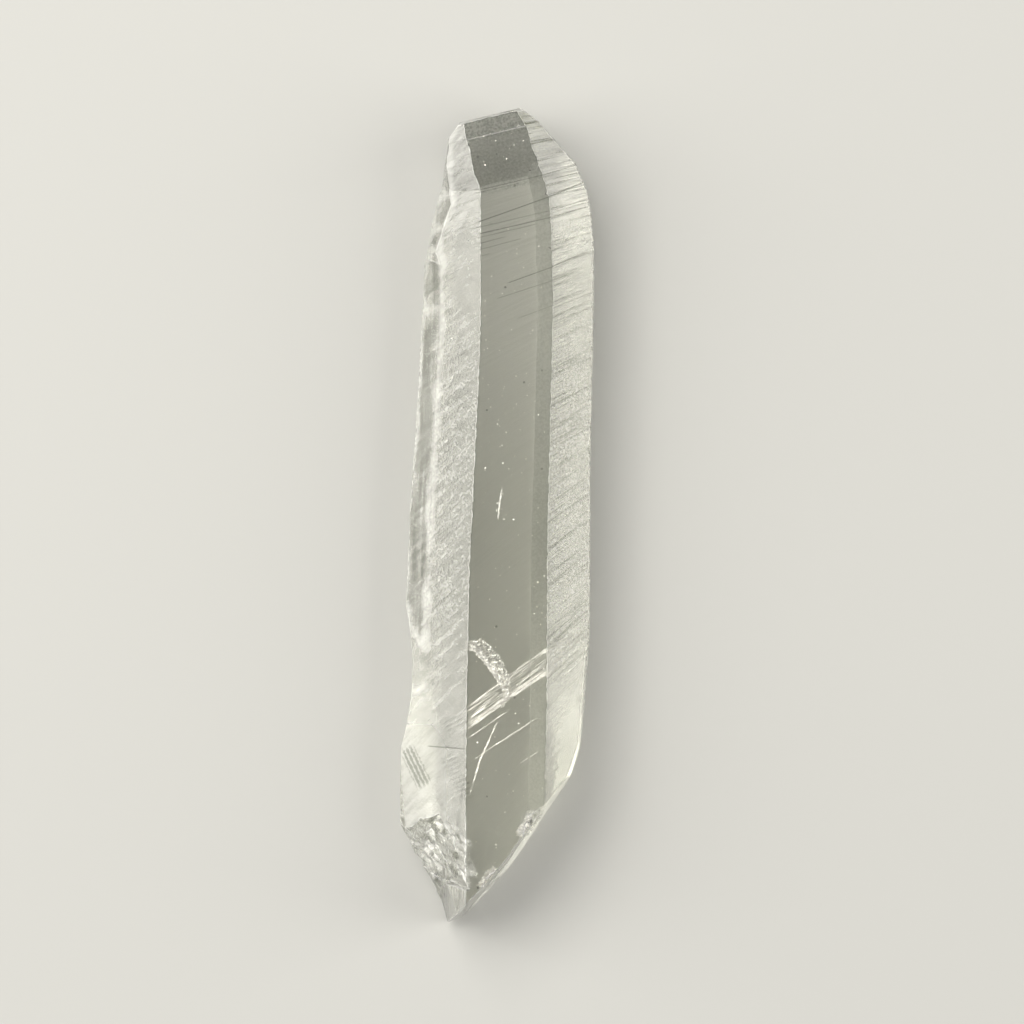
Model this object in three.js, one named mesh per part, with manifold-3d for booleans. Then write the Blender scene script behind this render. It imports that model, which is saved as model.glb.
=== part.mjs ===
// A single clear crystal of nifontovite, lying on its flat back face.
//
// Millimetres, +Z up. The long axis runs along Y, with the natural termination at +Y and the broken
// tip at -Y. The crystal is a flattened eight-sided prism: a broad front face (up), a parallel back
// face that it rests on, and bevels between them. While it is being shaped, X is measured from a line
// near the middle of the front face and heights are measured up from the broken tip. At the end the
// whole crystal is centred over the origin.

import * as THREE from "three";
import { mergeVertices } from "three/addons/utils/BufferGeometryUtils.js";
import Module from "manifold-3d";

const wasm = await Module();
wasm.setup();

const UP = new THREE.Vector3(0, 0, 1);

// ---------------------------------------------------------------------------------------------
// Driving dimensions
// ---------------------------------------------------------------------------------------------

const THICKNESS = 9.8; // front face to back face
const BEVEL_DIP = 39.5; // degrees between the front face and the bevels beside it
const BEVEL_DROP = Math.tan(THREE.MathUtils.degToRad(BEVEL_DIP)); // drop for each mm outwards
const BACK_RIGHT_DIP = 33; // degrees between the back face and the flatter bevel at its right
const BACK_RIGHT_DROP = Math.tan(THREE.MathUtils.degToRad(BACK_RIGHT_DIP));
const BACK_SHIFT = { left: 0.15, right: 0.37 }; // how far the back face lies to the left, per bevel width

// The long edges seen from the front, as [height, x], from above the termination down past the tip.
const LEFT_RIM = [
  [84, -4.6],
  [78.8, -4.6],
  [77.3, -5.7],
  [75.1, -6.0],
  [72.2, -6.4],
  [69.5, -7.2],
  [65.5, -7.75],
  [64.9, -7.95],
  [57.5, -8.3],
  [51.6, -8.65],
  [41.8, -9.3],
  [33.4, -9.7],
  [15.8, -10.3],
  [-4, -10.5],
];
const LEFT_RIDGE = [
  [84, -4.5],
  [78.8, -4.5],
  [77.3, -5.6],
  [74.6, -5.85],
  [70.7, -5.45],
  [66.0, -6.9],
  [64.6, -6.35],
  [57.5, -6.4],
  [51.6, -6.8],
  [39.8, -7.35],
  [30.0, -7.85],
  [-4, -8.6],
];
const FRONT_LEFT = [
  [84, -4.1],
  [78.5, -4.1],
  [77.0, -3.8],
  [75.1, -3.2],
  [73.9, -3.1],
  [72.0, -2.35],
  [57.5, -2.35],
  [34.4, -3.45],
  [23.1, -3.7],
  [-4, -3.95],
];
const FRONT_RIGHT = [
  [84, -1.1],
  [79.8, 1.2],
  [77.85, 2.35],
  [76.6, 2.55],
  [73.8, 3.65],
  [71.5, 4.3],
  [69.2, 4.55],
  [61.0, 4.75],
  [50.0, 4.5],
  [37.8, 4.2],
  [23.1, 4.15],
  [-4, 3.6],
];
const RIGHT_RIM = [
  [84, -1.0],
  [80.4, 1.45],
  [78.9, 3.45],
  [74.8, 7.05],
  [72.0, 8.2],
  [70.0, 8.55],
  [66.3, 8.8],
  [59.4, 8.75],
  [45.2, 8.45],
  [27.1, 8.4],
  [-4, 8.1],
];

// A face is a point on it, the direction it faces in the front view (degrees from +X) and its lean
// forwards. Those with a seed are crushed: broken into small uneven facets.

// The termination: an end face that climbs to the right, undercut by a chisel face behind it.
const END_FACE = { x: -4.1, height: 78.5, z: THICKNESS, facing: 103.5, lean: 5.5 };
const CHISEL_FACE = { x: -4.1, height: 79.0, z: 4.8, facing: 103.5, lean: -55 };

// Growth ledges, where one more thin growth layer stops. Those lower down climb more steeply.
const LEDGE_HEIGHTS = [63.2, 68.4, 70.2, 73.0, 77.9]; // on the line x = 0
const LEDGE_SHRINK = { x: 0.997, z: 0.988 };
const LEDGE_LEAN = 6;
const LEDGE_CLIMB = { atTop: 12, perMm: 0.7 }; // degrees, from the top of the crystal down
const TOP = 80.4;

// The break at the lower right: its outline at z = 0, clockwise, as [x, height].
const RIGHT_BREAK = [
  [8.35, 23.1],
  [7.85, 17.3],
  [6.85, 14.3],
  [0.5, 5.3],
  [-3.9, 0.5],
  [-5.3, -0.1],
];
const RIGHT_BREAK_LEAN = 5;

// The break at the lower left: the straight side of the stub and the crushed flank above it.
const STUB_SIDE = { x: -5.3, height: -0.1, z: 3, facing: 197, lean: 9 };
const CRUSHED_FLANK = { x: -8.4, height: 6.3, z: 3, facing: 214, lean: 12, seed: 1 };

// The bite out of the front above the stub, between three crushed walls.
const BITE_WALLS = [
  { x: -4.1, height: 6.0, z: 9.8, facing: 194, lean: 31, seed: 3 },
  { x: -6.5, height: 10.9, z: 7.4, facing: 250, lean: 50, seed: 8 },
  { x: -5.5, height: 4.1, z: 8, facing: 80, lean: 8, seed: 5 },
];
const CRUSHED = { cells: 50, span: 60, relief: 0.28 };

// Shell-shaped chips, as balls that dip into the surface.
const CHIPS = [
  { x: -35.2, height: 25.1, z: 3.2, radius: 26.2 }, // long hollow in the left rim
  { x: -11.6, height: 17.6, z: 8.4, radius: 3.4 }, // left shoulder, above the crushed flank
  { x: 10.75, height: 46.7, z: 6.6, radius: 2.5 }, // nick in the right rim
  { x: 9.5, height: 15.4, z: 9.3, radius: 3.1 }, // corner of the right break
  { x: 4.8, height: 8.9, z: 11.7, radius: 3.5 }, // front edge of the right break
  { x: 0.1, height: 3.1, z: 11.3, radius: 2.8 }, // the same edge near the tip
];
const CHIP_FACET = 0.8; // about the size of the facets that the balls are made of

// ---------------------------------------------------------------------------------------------
// Solids
// ---------------------------------------------------------------------------------------------

/** A three.js geometry as a manifold-3d solid. */
function solidOf(geometry) {
  const bare = geometry.clone();
  bare.deleteAttribute("normal");
  bare.deleteAttribute("uv");
  const merged = mergeVertices(bare, 1e-4);
  return new wasm.Manifold(
    new wasm.Mesh({
      numProp: 3,
      vertProperties: merged.attributes.position.array,
      triVerts: new Uint32Array(merged.index.array),
    }),
  );
}

/** A manifold-3d solid as a three.js geometry. */
function geometryOf(solid) {
  const mesh = solid.getMesh();
  return new THREE.BufferGeometry()
    .setAttribute("position", new THREE.BufferAttribute(mesh.vertProperties, 3))
    .setIndex(new THREE.BufferAttribute(mesh.triVerts, 1));
}

/** A repeatable number between -1 and 1 for a pair of whole numbers. */
function scatter(i, j, seed) {
  const wave = Math.sin(i * 12.9898 + j * 78.233 + seed * 37.719) * 43758.5453;
  return 2 * (wave - Math.floor(wave)) - 1;
}

/** The unit normal of a face. */
function normalOf({ facing, lean }) {
  const across = THREE.MathUtils.degToRad(facing);
  const up = THREE.MathUtils.degToRad(lean);
  return new THREE.Vector3(Math.cos(across) * Math.cos(up), Math.sin(across) * Math.cos(up), Math.sin(up));
}

/** All the space in front of a face, as a large block. */
function spaceBeyond(face) {
  const crushed = face.seed !== undefined;
  const span = crushed ? CRUSHED.span : 200;
  const cells = crushed ? CRUSHED.cells : 1;
  const block = new THREE.BoxGeometry(span, span, span, cells, cells, 1);
  if (crushed) crush(block, span / cells, face.seed);
  block.translate(0, 0, span / 2);
  block.applyQuaternion(new THREE.Quaternion().setFromUnitVectors(UP, normalOf(face)));
  block.translate(face.x, face.height, face.z);
  return solidOf(block);
}

/** Breaks the lower face of a block into facets by moving its grid points about. */
function crush(block, cell, seed) {
  const position = block.attributes.position;
  for (let i = 0; i < position.count; i++) {
    if (position.getZ(i) > 0) continue;
    const column = Math.round(position.getX(i) / cell);
    const row = Math.round(position.getY(i) / cell);
    position.setXYZ(
      i,
      position.getX(i) + 0.3 * cell * scatter(row, column, seed + 1),
      position.getY(i) + 0.3 * cell * scatter(column, row, seed + 2),
      position.getZ(i) + CRUSHED.relief * scatter(column, row, seed),
    );
  }
}

/** A ball for scooping out a chip. */
function ball({ x, height, z, radius }) {
  const detail = Math.ceil(radius / CHIP_FACET) - 1;
  return solidOf(new THREE.IcosahedronGeometry(radius, detail).translate(x, height, z));
}

// ---------------------------------------------------------------------------------------------
// The prism
// ---------------------------------------------------------------------------------------------

/** Where an edge is at a height, between the points of its outline. */
function edgeAt(outline, height) {
  const below = outline.findIndex(([h]) => h <= height);
  if (below === 0) return outline[0][1];
  const [h0, x0] = outline[below - 1];
  const [h1, x1] = outline[below];
  return x0 + ((x1 - x0) * (h0 - height)) / (h0 - h1);
}

/** The eight corners of a cross-section, clockwise as seen from the tip, from the left ridge on. */
function sectionAt(height) {
  const leftRim = edgeAt(LEFT_RIM, height);
  const rightRim = edgeAt(RIGHT_RIM, height);
  const frontLeft = edgeAt(FRONT_LEFT, height);
  const frontRight = edgeAt(FRONT_RIGHT, height);
  const ridge = edgeAt(LEFT_RIDGE, height);
  const backLeft = frontLeft - BACK_SHIFT.left * (frontLeft - leftRim);
  const backRight = frontRight - BACK_SHIFT.right * (rightRim - frontRight);
  return [
    [ridge, THICKNESS - BEVEL_DROP * (frontLeft - ridge)],
    [frontLeft, THICKNESS],
    [frontRight, THICKNESS],
    [rightRim, THICKNESS - BEVEL_DROP * (rightRim - frontRight)],
    [rightRim, BACK_RIGHT_DROP * (rightRim - backRight)],
    [backRight, 0],
    [backLeft, 0],
    [leftRim, BEVEL_DROP * (backLeft - leftRim)],
  ];
}

/** The prism: a skin between cross-sections at every height that an outline names. */
function prism() {
  const outlines = [LEFT_RIM, LEFT_RIDGE, FRONT_LEFT, FRONT_RIGHT, RIGHT_RIM];
  const heights = [...new Set(outlines.flat().map(([h]) => h))].sort((a, b) => a - b);
  const corners = heights.flatMap((h) => sectionAt(h).flatMap(([x, z]) => [x, h, z]));
  const sides = 8;
  const faces = [];
  for (let i = 0; i < heights.length - 1; i++) {
    for (let j = 0; j < sides; j++) {
      const a = i * sides + j;
      const b = i * sides + ((j + 1) % sides);
      faces.push(a, b, a + sides, b, b + sides, a + sides);
    }
  }
  const last = (heights.length - 1) * sides;
  for (let j = 1; j < sides - 1; j++) {
    faces.push(0, j + 1, j);
    faces.push(last, last + j, last + j + 1);
  }
  return solidOf(
    new THREE.BufferGeometry()
      .setAttribute("position", new THREE.BufferAttribute(new Float32Array(corners), 3))
      .setIndex(faces),
  );
}

// ---------------------------------------------------------------------------------------------
// The two ends
// ---------------------------------------------------------------------------------------------

/** The space above a growth ledge. */
function aboveLedge(height) {
  const climb = LEDGE_CLIMB.atTop + LEDGE_CLIMB.perMm * (TOP - height);
  return spaceBeyond({ x: 0, height, z: THICKNESS, facing: 90 + climb, lean: LEDGE_LEAN });
}

/** The crystal with one growth layer fewer above each ledge. */
function withLedges(body) {
  const [lowest] = LEDGE_HEIGHTS;
  const axisX = (edgeAt(LEFT_RIM, lowest) + edgeAt(RIGHT_RIM, lowest)) / 2;
  const axisZ = THICKNESS / 2;
  let stepped = body.subtract(aboveLedge(lowest));
  for (let i = 1; i <= LEDGE_HEIGHTS.length; i++) {
    const thinner = geometryOf(body);
    thinner.translate(-axisX, 0, -axisZ);
    thinner.scale(LEDGE_SHRINK.x ** i, 1, LEDGE_SHRINK.z ** i);
    thinner.translate(axisX, 0, axisZ);
    const layer = solidOf(thinner);
    stepped = stepped.add(i < LEDGE_HEIGHTS.length ? layer.subtract(aboveLedge(LEDGE_HEIGHTS[i])) : layer);
  }
  return stepped;
}

/** The crystal cut off by its end face and its chisel face. */
function withTermination(body) {
  return body.subtract(spaceBeyond(END_FACE)).subtract(spaceBeyond(CHISEL_FACE));
}

/** The space beyond the curved break at the lower right, one face between each two corners. */
function rightBreak() {
  const faces = RIGHT_BREAK.slice(1).map(([x, height], i) => {
    const [xBefore, heightBefore] = RIGHT_BREAK[i];
    const along = THREE.MathUtils.radToDeg(Math.atan2(height - heightBefore, x - xBefore));
    return spaceBeyond({ x, height, z: 0, facing: along + 90, lean: RIGHT_BREAK_LEAN });
  });
  return faces.reduce((space, face) => space.add(face));
}

/** The bite: the space in front of all three of its walls. */
function bite() {
  return BITE_WALLS.map(spaceBeyond).reduce((space, wall) => space.intersect(wall));
}

/** The crystal with its broken lower end: a stub at the tip, and a crushed flank with a bite above it. */
function withBreak(body) {
  const leftBreak = spaceBeyond(STUB_SIDE).intersect(spaceBeyond(CRUSHED_FLANK));
  return body.subtract(rightBreak()).subtract(leftBreak).subtract(bite());
}

/** The crystal with a shell-shaped chip wherever a ball dips into it. */
function withChips(body) {
  return CHIPS.reduce((chipped, chip) => chipped.subtract(ball(chip)), body);
}

// ---------------------------------------------------------------------------------------------
// The part
// ---------------------------------------------------------------------------------------------

/** The finished crystal, centred over the origin with its back face at z = 0. */
function crystalGeometry() {
  const geometry = geometryOf(withChips(withBreak(withTermination(withLedges(prism())))));
  geometry.computeBoundingBox();
  const centre = geometry.boundingBox.getCenter(new THREE.Vector3());
  return geometry.translate(-centre.x, -centre.y, -geometry.boundingBox.min.z);
}

const clear = new THREE.MeshStandardMaterial({
  color: 0xdcdccd,
  roughness: 0.12,
  metalness: 0,
  transparent: true,
  opacity: 0.5,
});

const crystal = new THREE.Mesh(crystalGeometry(), clear);
crystal.name = "crystal";

const specimen = new THREE.Group();
specimen.add(crystal);

export default specimen;
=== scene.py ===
# %% [markdown]
# # A clear crystal of nifontovite
# This lesson dresses one loose crystal, about as long as a finger. Its solid comes packed from the CAD
# model and sets every size and place. What is made here is what light sees: a surface fine enough for
# etching and growth lines, frosted bevels beside a clear front face, a crushed tip, and the silky
# healed cracks inside.
#
# Lengths are written in millimetres and turned to metres with MM. X runs across the crystal, Y along
# it from the broken tip to the natural end, and Z up from the face that it lies on.

# %% Load the frame
import math

import bmesh
import bpy
import numpy as np
from mathutils import Matrix, Vector, noise
from mathutils.bvhtree import BVHTree
from mathutils.geometry import delaunay_2d_cdt
from mathutils.kdtree import KDTree


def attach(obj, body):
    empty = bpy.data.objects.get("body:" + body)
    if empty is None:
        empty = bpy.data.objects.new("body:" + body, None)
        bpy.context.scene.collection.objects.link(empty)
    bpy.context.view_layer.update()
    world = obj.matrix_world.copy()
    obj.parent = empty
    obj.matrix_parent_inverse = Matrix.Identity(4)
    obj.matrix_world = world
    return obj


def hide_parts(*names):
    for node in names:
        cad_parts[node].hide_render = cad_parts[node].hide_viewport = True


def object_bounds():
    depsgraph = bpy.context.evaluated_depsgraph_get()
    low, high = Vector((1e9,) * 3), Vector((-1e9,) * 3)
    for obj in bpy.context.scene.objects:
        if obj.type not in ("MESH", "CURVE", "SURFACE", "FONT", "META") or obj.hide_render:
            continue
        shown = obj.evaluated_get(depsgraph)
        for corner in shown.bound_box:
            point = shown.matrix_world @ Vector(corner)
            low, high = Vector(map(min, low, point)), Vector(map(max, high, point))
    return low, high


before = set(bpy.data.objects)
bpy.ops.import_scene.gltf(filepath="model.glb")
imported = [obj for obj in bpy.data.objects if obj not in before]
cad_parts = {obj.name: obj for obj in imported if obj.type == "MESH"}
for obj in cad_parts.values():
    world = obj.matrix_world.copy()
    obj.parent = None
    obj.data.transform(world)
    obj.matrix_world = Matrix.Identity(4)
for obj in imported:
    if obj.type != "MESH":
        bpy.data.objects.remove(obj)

MM = 0.001
scene = bpy.context.scene
cad_low, cad_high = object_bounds()
size = (cad_high - cad_low) / MM
print(f"the crystal is {size.y:.1f} mm long, {size.x:.1f} mm wide and {size.z:.1f} mm thick")

# %% [markdown]
# ## Camera
# The crystal lies on its back and is looked at from straight above. A long lens far away keeps its
# long edges straight, as a close-up lens for minerals does.

# %% Camera
LENS = 300.0
FRAME_SPAN = 1.246 * size.y
AIM = (0.079 * size.x, 0.005 * size.y)

camera_data = bpy.data.cameras.new("camera")
camera_data.lens = LENS
camera_data.sensor_width = 36.0
camera_data.clip_start = 0.01
camera_data.clip_end = 10.0
camera = bpy.data.objects.new("camera", camera_data)
distance = FRAME_SPAN * LENS / camera_data.sensor_width
camera.location = Vector((*AIM, size.z + distance)) * MM
scene.collection.objects.link(camera)
scene.camera = camera
print(f"the camera is {distance:.0f} mm above the front face")

# %% [markdown]
# ## A helper for node trees
# Materials and Geometry Nodes are both trees of nodes. This one helper adds a node, gives it its
# settings, and then sets each input to a value or links it to another node's output.

# %% Add a node
def add(tree, kind, inputs=None, **settings):
    node = tree.nodes.new(kind)
    for name, value in settings.items():
        setattr(node, name, value)
    for name, value in (inputs or {}).items():
        if isinstance(value, bpy.types.NodeSocket):
            tree.links.new(value, node.inputs[name])
        else:
            node.inputs[name].default_value = value
    return node

# %% [markdown]
# ## Floor
# A sheet of pale matt paper, large enough that its edges stay out of every view.

# %% Floor
FLOOR_HALF = 2000.0
FLOOR_DROP = 0.15

floor_mesh = bpy.data.meshes.new("floor")
corners = [(-1, -1, 0), (1, -1, 0), (1, 1, 0), (-1, 1, 0)]
floor_mesh.from_pydata([Vector(corner) * FLOOR_HALF * MM for corner in corners], [], [(0, 1, 2, 3)])
floor_mesh.transform(Matrix.Translation((0, 0, -FLOOR_DROP * MM)))
floor = bpy.data.objects.new("floor", floor_mesh)
scene.collection.objects.link(floor)

paper = bpy.data.materials.new("paper")
paper.use_nodes = True
matt = paper.node_tree.nodes["Principled BSDF"]
matt.inputs["Base Color"].default_value = (0.60, 0.60, 0.59, 1)
matt.inputs["Roughness"].default_value = 0.85
floor_mesh.materials.append(paper)
print(f"the paper is {2 * FLOOR_HALF:.0f} mm wide")

# %% [markdown]
# ## Light
# A clear crystal has no colour of its own to show: it shows its surroundings, bent and mirrored. So
# the studio is bright all round, with three large soft boxes that give the bevels something to catch.

# %% Light
LAMP_COLOUR = (1.0, 0.975, 0.90)
BOUNCES = 16

world = bpy.data.worlds.new("studio")
scene.world = world
world.use_nodes = True
background = world.node_tree.nodes["Background"]
background.inputs["Color"].default_value = (1.0, 0.99, 0.95, 1)
background.inputs["Strength"].default_value = 0.38


def softbox(name, place, across, power):
    light = bpy.data.lights.new(name, "AREA")
    light.shape = "RECTANGLE"
    light.size = across[0] * MM
    light.size_y = across[1] * MM
    light.energy = power
    light.color = LAMP_COLOUR
    lamp = bpy.data.objects.new(name, light)
    lamp.location = Vector(place) * MM
    lamp.rotation_euler = (-lamp.location).to_track_quat("-Z", "Y").to_euler()
    scene.collection.objects.link(lamp)


softbox("left_box", (-560, 60, 300), (400, 700), 2.7)
softbox("right_box", (560, 20, 280), (400, 700), 2.3)
softbox("top_box", (-260, 290, 560), (500, 400), 2.6)

scene.view_settings.view_transform = "Standard"
scene.cycles.max_bounces = BOUNCES
scene.cycles.transmission_bounces = BOUNCES
print(len(bpy.data.lights), "soft boxes")

# %% [markdown]
# ## The solid
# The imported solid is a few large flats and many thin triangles. It is copied, its loose corners are
# joined, and it is measured in millimetres while it is worked on.

# %% Copy the solid
SAME_POINT = 0.004
SHORTEST_EDGE = 0.01


def cut_into_triangles():
    bmesh.ops.triangulate(solid, faces=[face for face in solid.faces if len(face.verts) > 3])


solid = bmesh.new()
solid.from_mesh(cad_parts["crystal"].data)
bmesh.ops.scale(solid, vec=Vector((1, 1, 1)) / MM, verts=solid.verts)
bmesh.ops.remove_doubles(solid, verts=solid.verts, dist=SAME_POINT)
bmesh.ops.dissolve_degenerate(solid, dist=SHORTEST_EDGE, edges=solid.edges)
cut_into_triangles()
print(len(solid.faces), "triangles in the solid")

# %% [markdown]
# ## Growth lines
# The crystal grew in layers thinner than a hair. Where a layer stopped, it left a fine line across the
# front face and the bevels, almost straight and climbing a little to the right. Each line is a shallow
# groove: three cuts side by side now, of which the middle one is pressed in once the surface is fine.

# %% Cut the growth lines
GROOVE_HALF = 0.08
CUT_LEAN = 0.1
ON_THE_CUT = 1e-4
GROOVES = [  # height on the line x = 0, climb in degrees, first x, last x, strength
    (37.55, 13.5, -3.2, 3.2, 0.065),
    (32.35, 13.3, -2.2, 9, 0.045),
    (32.10, 13.3, -2.2, 2.5, 0.030),
    (29.45, 19.6, -2.0, 9, 0.075),
    (28.70, 13.3, -3, 9, 0.035),
    (28.05, 13.0, -2, 9, 0.055),
    (27.70, 13.2, -2, 4, 0.035),
    (27.15, 14.6, -2, 1, 0.035),
    (26.55, 15.0, -2, 2.5, 0.035),
    (25.90, 15.5, -2, -0.5, 0.03),
    (22.45, 19.8, 1, 9, 0.055),
    (21.30, 18.0, 0, 9, 0.035),
    (18.60, 20.5, 2, 9, 0.03),
    (-22.75, 1.6, -6.9, -3.0, 0.10),
]
groove_number = solid.edges.layers.int.new("groove")


def cut_across(height, climb):
    turn = math.radians(climb)
    everything = solid.verts[:] + solid.edges[:] + solid.faces[:]
    across = Vector((-math.sin(turn), math.cos(turn), CUT_LEAN))
    cut = bmesh.ops.bisect_plane(
        solid, geom=everything, dist=ON_THE_CUT, plane_co=(0, height, size.z), plane_no=across
    )
    edges = [part for part in cut["geom_cut"] if isinstance(part, bmesh.types.BMEdge)]
    for edge in edges:
        edge.seam = True
    return edges


for number, (height, climb, *_) in enumerate(GROOVES, 1):
    cut_across(height - GROOVE_HALF, climb)
    cut_across(height + GROOVE_HALF, climb)
    for edge in cut_across(height, climb):
        edge[groove_number] = number
cut_into_triangles()
print(len(solid.faces), "triangles once the growth lines are cut")

# %% [markdown]
# ## Flats
# A flat is a group of touching triangles that lie in one plane. Each is found by starting at its
# largest triangle and taking in every neighbour that faces the same way, but never across a growth
# line.

# %% Find the flats
SAME_PLANE = math.cos(math.radians(0.6))


def find_flats():
    taken = set()
    flats = []
    for seed in sorted(solid.faces, key=lambda face: -face.calc_area()):
        if seed in taken:
            continue
        taken.add(seed)
        flat = [seed]
        for face in flat:
            for edge in face.edges:
                for other in edge.link_faces:
                    level = other.normal.dot(seed.normal) > SAME_PLANE
                    if other not in taken and level and not edge.seam:
                        taken.add(other)
                        flat.append(other)
        flats.append(flat)
    return flats


flats = find_flats()
print(len(flats), "flats")

# %% [markdown]
# ## Finishes
# Light tells six kinds of surface apart. The front and back faces are glassy. The bevels are etched to
# a fine frost, but those at the back right and back top stayed smooth, and the steep strip at the left
# is ribbed lengthwise. At the lower end the clean breaks are glassy and the crushed parts are not. The
# finish of a flat follows from its place, its area, and the way it faces.

# %% Name the finish of a flat
GLASSY, ETCHED, RIBBED, SMOOTH, CRUSHED, BROKEN = range(6)
FINISH_NAMES = ["glassy", "etched", "ribbed", "smooth", "crushed", "broken"]
BREAK_TOP = -24.0
STUB_TOP = -36.3
CRUSHED_AREA = 2.5
LEVEL = 0.999
FACES_BACK = -0.5
FACES_RIGHT_OR_TOP = 0.3
FACES_TIP = -0.25
FACES_LEFT = -0.68


def area_of(flat):
    return sum(face.calc_area() for face in flat)


def finish_of(flat):
    middle = flat[0].calc_center_median()
    normal = flat[0].normal
    if abs(normal.z) > LEVEL:
        return GLASSY
    if normal.z < FACES_BACK and max(normal.x, normal.y) > FACES_RIGHT_OR_TOP:
        return SMOOTH
    if middle.y < BREAK_TOP and normal.y < FACES_TIP and area_of(flat) > CRUSHED_AREA:
        return BROKEN
    if middle.y < STUB_TOP:
        return BROKEN
    if middle.y < BREAK_TOP and area_of(flat) < CRUSHED_AREA:
        return CRUSHED
    if normal.x < FACES_LEFT and normal.z > 0:
        return RIBBED
    return ETCHED


finishes = [finish_of(flat) for flat in flats]
finish_at = {face: finish for flat, finish in zip(flats, finishes) for face in flat}
for kind, name in enumerate(FINISH_NAMES):
    print(name, finishes.count(kind), "flats")

# %% [markdown]
# ## A fine, even surface
# Etching can only be shaped where there are points to move. Subdividing long thin triangles makes more
# long thin triangles, so each flat is filled again from its outline: points at even steps along its
# rim, a honeycomb of points inside, and a Delaunay triangulation through them all. Neighbouring flats
# share the points on their common edge, so the new surface is closed like the old one. The glassy
# faces stay flat, so their points can lie further apart, and the broken end needs the finest steps.

# %% Step along the edges
PITCH = 0.24
FINE_PITCH = 0.16
GLASSY_PITCH = 0.60

points = [vert.co.copy() for vert in solid.verts]
solid.verts.index_update()
chains = {}


def pitch_at(height):
    return FINE_PITCH if height < BREAK_TOP else PITCH


def chain_along(edge):
    if edge not in chains:
        start, end = edge.verts
        pitch = pitch_at((start.co.y + end.co.y) / 2)
        steps = max(1, math.ceil(edge.calc_length() / pitch))
        first = len(points)
        points.extend(start.co.lerp(end.co, step / steps) for step in range(1, steps))
        chains[edge] = [start.index, *range(first, len(points)), end.index]
    return chains[edge]


def rim_of(flat):
    own = set(flat)
    rim = []
    for face in flat:
        for loop in face.loops:
            if own.issuperset(loop.edge.link_faces):
                continue
            run = chain_along(loop.edge)
            if run[0] != loop.vert.index:
                run = run[::-1]
            rim.extend(zip(run, run[1:]))
    return rim

# %% Lay a honeycomb inside a rim
ROW_SHARE = math.sqrt(0.75)
RIM_CLEARANCE = 0.75


def honeycomb(low, high, pitch):
    rows = np.arange(low[1], high[1], pitch * ROW_SHARE)
    columns = np.arange(low[0], high[0], pitch)
    return [(x + (j % 2) * pitch / 2, y) for j, y in enumerate(rows) for x in columns]


def points_inside(flat, rim_points, axes, origin, pitch):
    normal = flat[0].normal
    corners = [vert.co for face in flat for vert in face.verts]
    surface = BVHTree.FromPolygons(corners, [(i, i + 1, i + 2) for i in range(0, len(corners), 3)])
    near_rim = KDTree(len(rim_points))
    for i, point in enumerate(rim_points):
        near_rim.insert((*point, 0), i)
    near_rim.balance()
    inside = []
    for x, y in honeycomb(rim_points.min(0), rim_points.max(0), pitch):
        if near_rim.find((x, y, 0))[2] < RIM_CLEARANCE * pitch:
            continue
        above = origin + axes[0] * x + axes[1] * y + normal
        hit = surface.ray_cast(above, -normal, 2)[0]
        if hit is not None:
            inside.append(((x, y), hit))
    return inside

# %% Keep the triangles on the inner side of a rim
def inner_triangles(faces, rim):
    beside = {}
    for number, face in enumerate(faces):
        for pair in zip(face, face[1:] + face[:1]):
            beside[pair] = number
    rim = set(rim)
    kept = {beside[pair] for pair in rim if pair in beside}
    waiting = list(kept)
    while waiting:
        face = faces[waiting.pop()]
        for a, b in zip(face, face[1:] + face[:1]):
            other = beside.get((b, a))
            if other is None or other in kept or (a, b) in rim or (b, a) in rim:
                continue
            kept.add(other)
            waiting.append(other)
    return [faces[number] for number in kept]

# %% Fill a flat
SAME_SITE = 1e-7


def inner_pitch(flat, finish):
    height = flat[0].calc_center_median().y
    return GLASSY_PITCH if finish == GLASSY and height > BREAK_TOP else pitch_at(height)


def fill(flat, pitch):
    rim = rim_of(flat)
    names = sorted({name for pair in rim for name in pair})
    site_of = {name: i for i, name in enumerate(names)}
    origin = flat[0].verts[0].co
    normal = flat[0].normal
    across = (flat[0].verts[1].co - origin).normalized()
    axes = (across, normal.cross(across))
    rim_points = np.array([[(points[name] - origin).dot(axis) for axis in axes] for name in names])
    inside = points_inside(flat, rim_points, axes, origin, pitch)
    sites = [Vector(point) for point in rim_points] + [Vector(point) for point, _ in inside]
    names.extend(range(len(points), len(points) + len(inside)))
    points.extend(hit for _, hit in inside)
    borders = [(site_of[a], site_of[b]) for a, b in rim]
    _, _, faces, sources, _, _ = delaunay_2d_cdt(sites, borders, [], 0, SAME_SITE)
    faces = [tuple(names[sources[i][0]] for i in face) for face in faces]
    return inner_triangles(faces, rim)


triangles = []
triangle_finish = []
for flat, finish in zip(flats, finishes):
    filled = fill(flat, inner_pitch(flat, finish))
    triangles.extend(filled)
    triangle_finish.extend([finish] * len(filled))
triangle_finish = np.array(triangle_finish)
print(len(triangles), "even triangles")

# %% [markdown]
# ## Soften what is not an edge
# The solid's outlines are straight from point to point. On the real crystal they run on in gentle
# curves, so the surface is relaxed: a point inside a face moves towards the middle of its neighbours,
# and a point on a crisp edge only along that edge. Corners stay where they are.

# %% Find the crisp edges
CRISP = math.cos(math.radians(9))
place = np.array(points)
faces = np.array(triangles)


def is_crisp(edge):
    left, right = edge.link_faces
    return edge.seam or left.normal.dot(right.normal) < CRISP


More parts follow.
